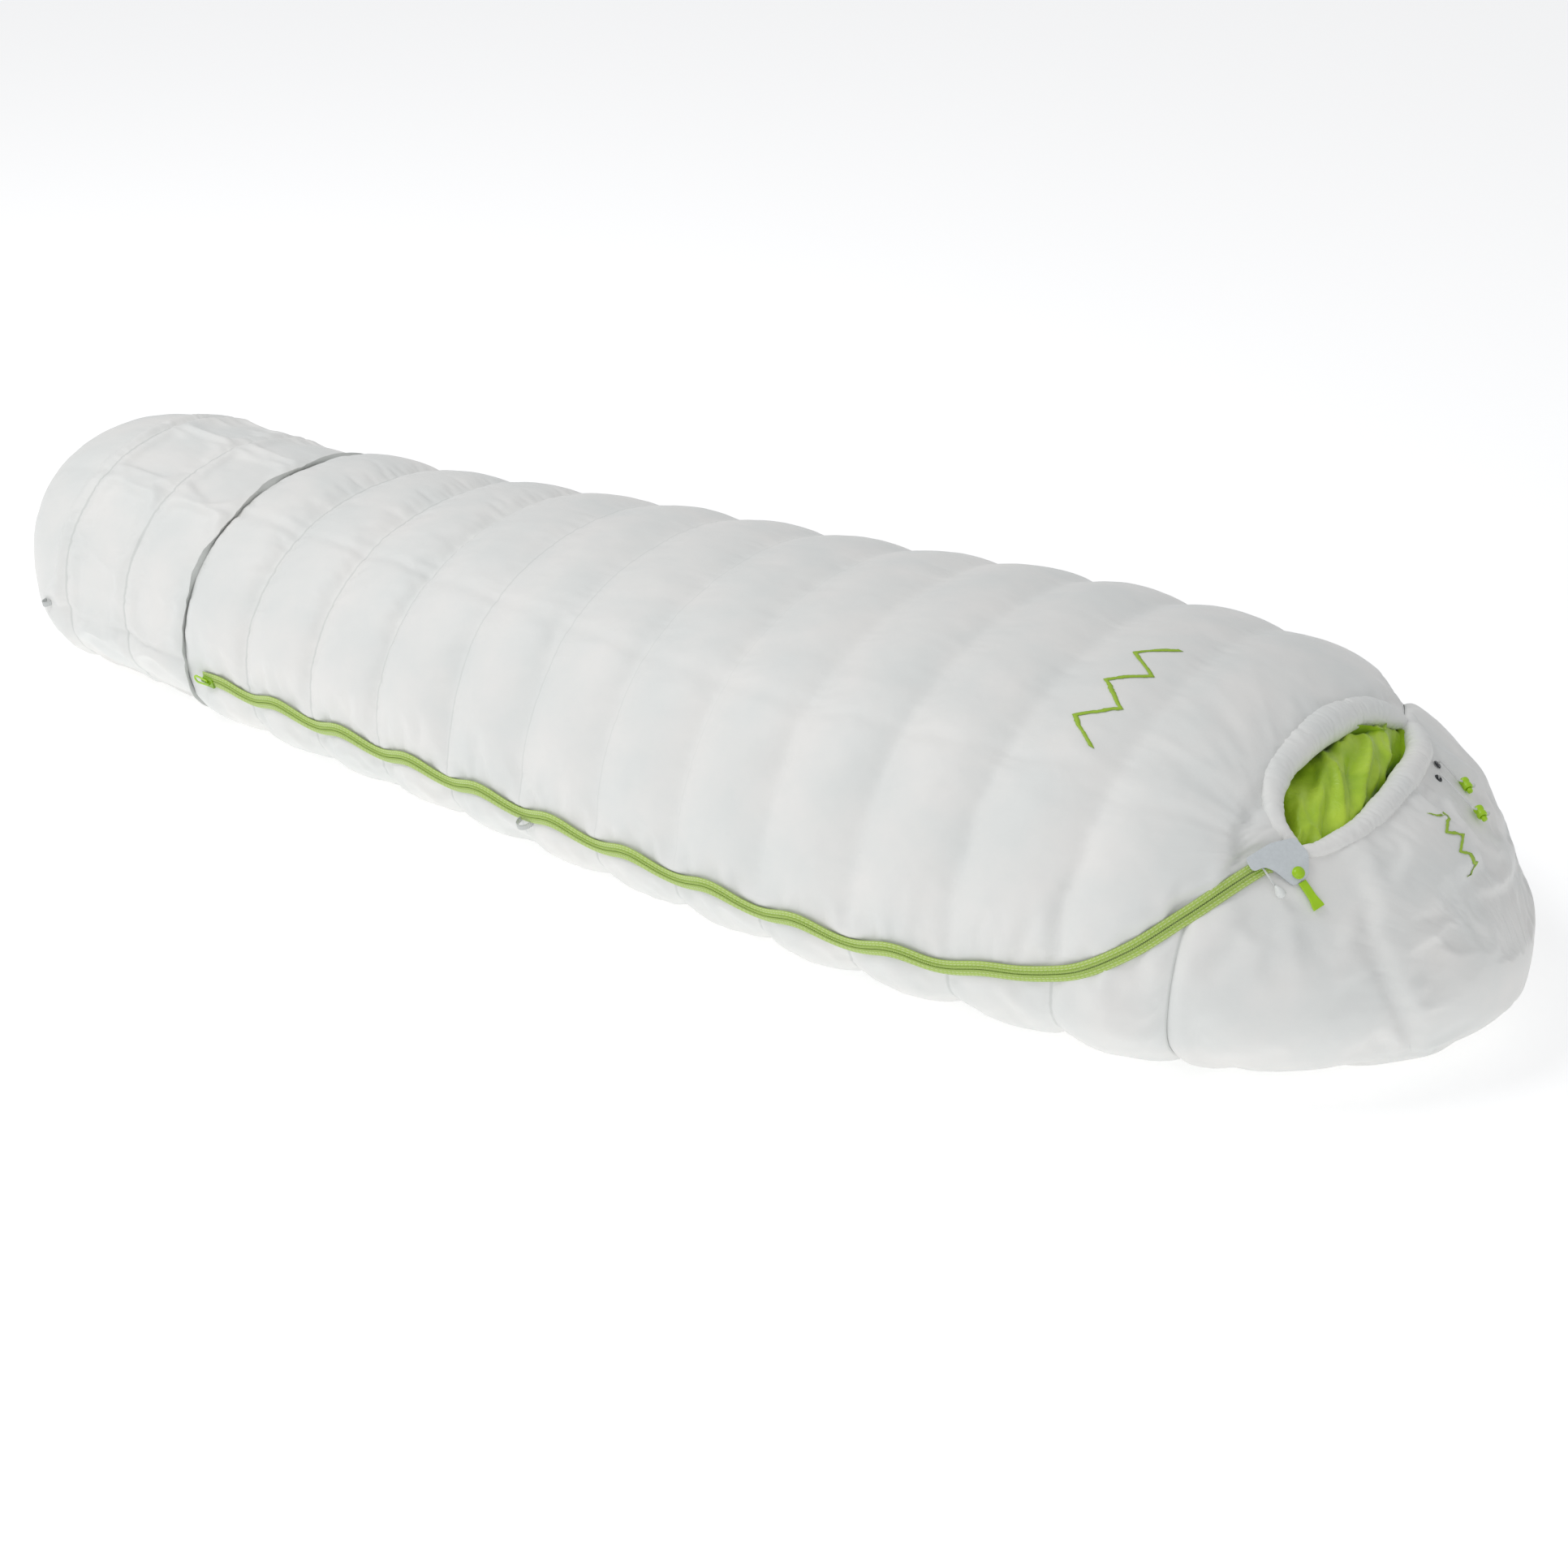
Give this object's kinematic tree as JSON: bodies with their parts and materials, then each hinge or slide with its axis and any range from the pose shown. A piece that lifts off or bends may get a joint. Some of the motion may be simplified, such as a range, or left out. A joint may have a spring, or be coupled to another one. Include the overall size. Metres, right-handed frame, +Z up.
{
  "type": "down mummy sleeping bag",
  "caption": "Down mummy sleeping bag with baffled chambers, hood, face opening, two-way side zip with a snapped flap, neck collar, hood cords and cord locks.",
  "frame": {"origin": "centre of the box around the bag, on the ground", "axes": "+X to the head, +Z up, the zip on the -Y side"},
  "size_m": [2.089, 0.6973, 0.3464],
  "materials": {
    "shell_fabric": "matt ripstop weave with a faint sheen",
    "lining_fabric": "glossy lime taffeta",
    "down_fill": "loose down",
    "zip_tape": "woven tape",
    "zip_coil": "nylon coil",
    "slider_paint": "satin enamel",
    "lime_plastic": "moulded",
    "flap_fabric": "soft satin",
    "cord_white": "braided",
    "bead_plastic": "glow plastic",
    "eyelet_metal": "dark nickel",
    "webbing_lime": "woven webbing"
  },
  "bodies": {
    "bag": {"under_shell": "shell_fabric", "under_lining": "lining_fabric", "under_down_01": "down_fill", "under_down_02": "down_fill", "under_down_03": "down_fill", "under_down_04": "down_fill", "under_down_05": "down_fill", "under_down_06": "down_fill", "foot_shell": "shell_fabric", "foot_lining": "lining_fabric", "foot_down_01": "down_fill", "foot_down_02": "down_fill", "foot_down_03": "down_fill", "hood_shell": "shell_fabric", "hood_lining": "lining_fabric", "hood_down_01": "down_fill", "hood_down_upper": "down_fill", "hood_down_lower": "down_fill", "hood_rim_roll": "shell_fabric", "zip_tape_under": "zip_tape", "zip_coil_under": "zip_coil", "foot_stop": "zip_coil", "snap_stud": "lime_plastic", "eyelet_1": "eyelet_metal", "eyelet_2": "eyelet_metal", "hood_cord_1": "cord_white", "hood_cord_2": "cord_white", "foot_loop": "cord_white", "side_loop": "cord_white"},
    "cover": {"cover_shell": "shell_fabric", "cover_lining": "lining_fabric", "cover_down_01": "down_fill", "cover_down_02": "down_fill", "cover_down_03": "down_fill", "cover_down_04": "down_fill", "cover_down_05": "down_fill", "cover_down_06": "down_fill", "cover_down_07": "down_fill", "cover_down_08": "down_fill", "cover_down_09": "down_fill", "cover_down_10": "down_fill", "cover_down_11": "down_fill", "cover_down_12": "down_fill", "cover_rim_roll": "shell_fabric", "neck_collar": "lining_fabric", "draft_tube": "lining_fabric", "zip_tape_cover": "zip_tape", "zip_coil_cover": "zip_coil", "top_stop": "zip_coil"},
    "top_slider_body": {"top_slider": "slider_paint"},
    "top_pull_body": {"top_pull": "bead_plastic"},
    "foot_slider_body": {"foot_slider": "slider_paint"},
    "foot_puller_body": {"foot_puller": "lime_plastic"},
    "flap_body": {"zip_flap": "flap_fabric", "snap_cap": "lime_plastic"},
    "pull_tab_body": {"pull_tab": "webbing_lime"},
    "lock_body_1": {"cord_lock_1": "lime_plastic"},
    "lock_button_body_1": {"lock_button_1": "lime_plastic"},
    "lock_body_2": {"cord_lock_2": "lime_plastic"},
    "lock_button_body_2": {"lock_button_2": "lime_plastic"}
  },
  "joints": [
    {"name": "cover_open", "type": "hinge", "parent": "bag", "child": "cover", "pos_m": [0, 0.31928, 0.105], "axis": [-0.9964, -0.0847, 0], "range_deg": [0, 60]},
    {"name": "top_slider_travel", "type": "slide", "parent": "cover", "child": "top_slider_body", "axis": [0.4492, 0.8384, 0.3087], "range_m": [-0.01, 0]},
    {"name": "top_pull_swing", "type": "hinge", "parent": "top_slider_body", "child": "top_pull_body", "pos_m": [0.83691, -0.2128, 0.24921], "axis": [0.4447, -0.5095, 0.7366], "range_deg": [-25, 5]},
    {"name": "foot_slider_travel", "type": "slide", "parent": "bag", "child": "foot_slider_body", "axis": [0.9947, -0.1029, -0.0007], "range_m": [0, 0.06]},
    {"name": "foot_puller_swing", "type": "hinge", "parent": "foot_slider_body", "child": "foot_puller_body", "pos_m": [-0.59889, -0.25079, 0.09024], "axis": [-0.0195, -0.1946, 0.9807], "range_deg": [0, 150]},
    {"name": "flap_open", "type": "hinge", "parent": "cover", "child": "flap_body", "pos_m": [0.82441, -0.2068, 0.25113], "axis": [-0.4492, -0.8384, -0.3087], "range_deg": [0, 90]},
    {"name": "pull_tab_lift", "type": "hinge", "parent": "flap_body", "child": "pull_tab_body", "pos_m": [0.87485, -0.19352, 0.23237], "axis": [-0.4492, -0.8384, -0.3087], "range_deg": [0, 20]},
    {"name": "cord_lock_1_travel", "type": "slide", "parent": "bag", "child": "lock_body_1", "axis": [0.2742, 0.8226, -0.4981], "range_m": [-0.006, 0.006]},
    {"name": "lock_button_1_press", "type": "slide", "parent": "lock_body_1", "child": "lock_button_body_1", "axis": [0.7447, -0.5094, -0.4313], "range_m": [-0.0025, 0], "stiffness_N_per_m": 300, "springref_m": 0.003},
    {"name": "cord_lock_2_travel", "type": "slide", "parent": "bag", "child": "lock_body_2", "axis": [0.2742, 0.8226, -0.4981], "range_m": [-0.006, 0.006]},
    {"name": "lock_button_2_press", "type": "slide", "parent": "lock_body_2", "child": "lock_button_body_2", "axis": [0.7447, -0.5094, -0.4313], "range_m": [-0.0025, 0], "stiffness_N_per_m": 300, "springref_m": 0.003}
  ]
}
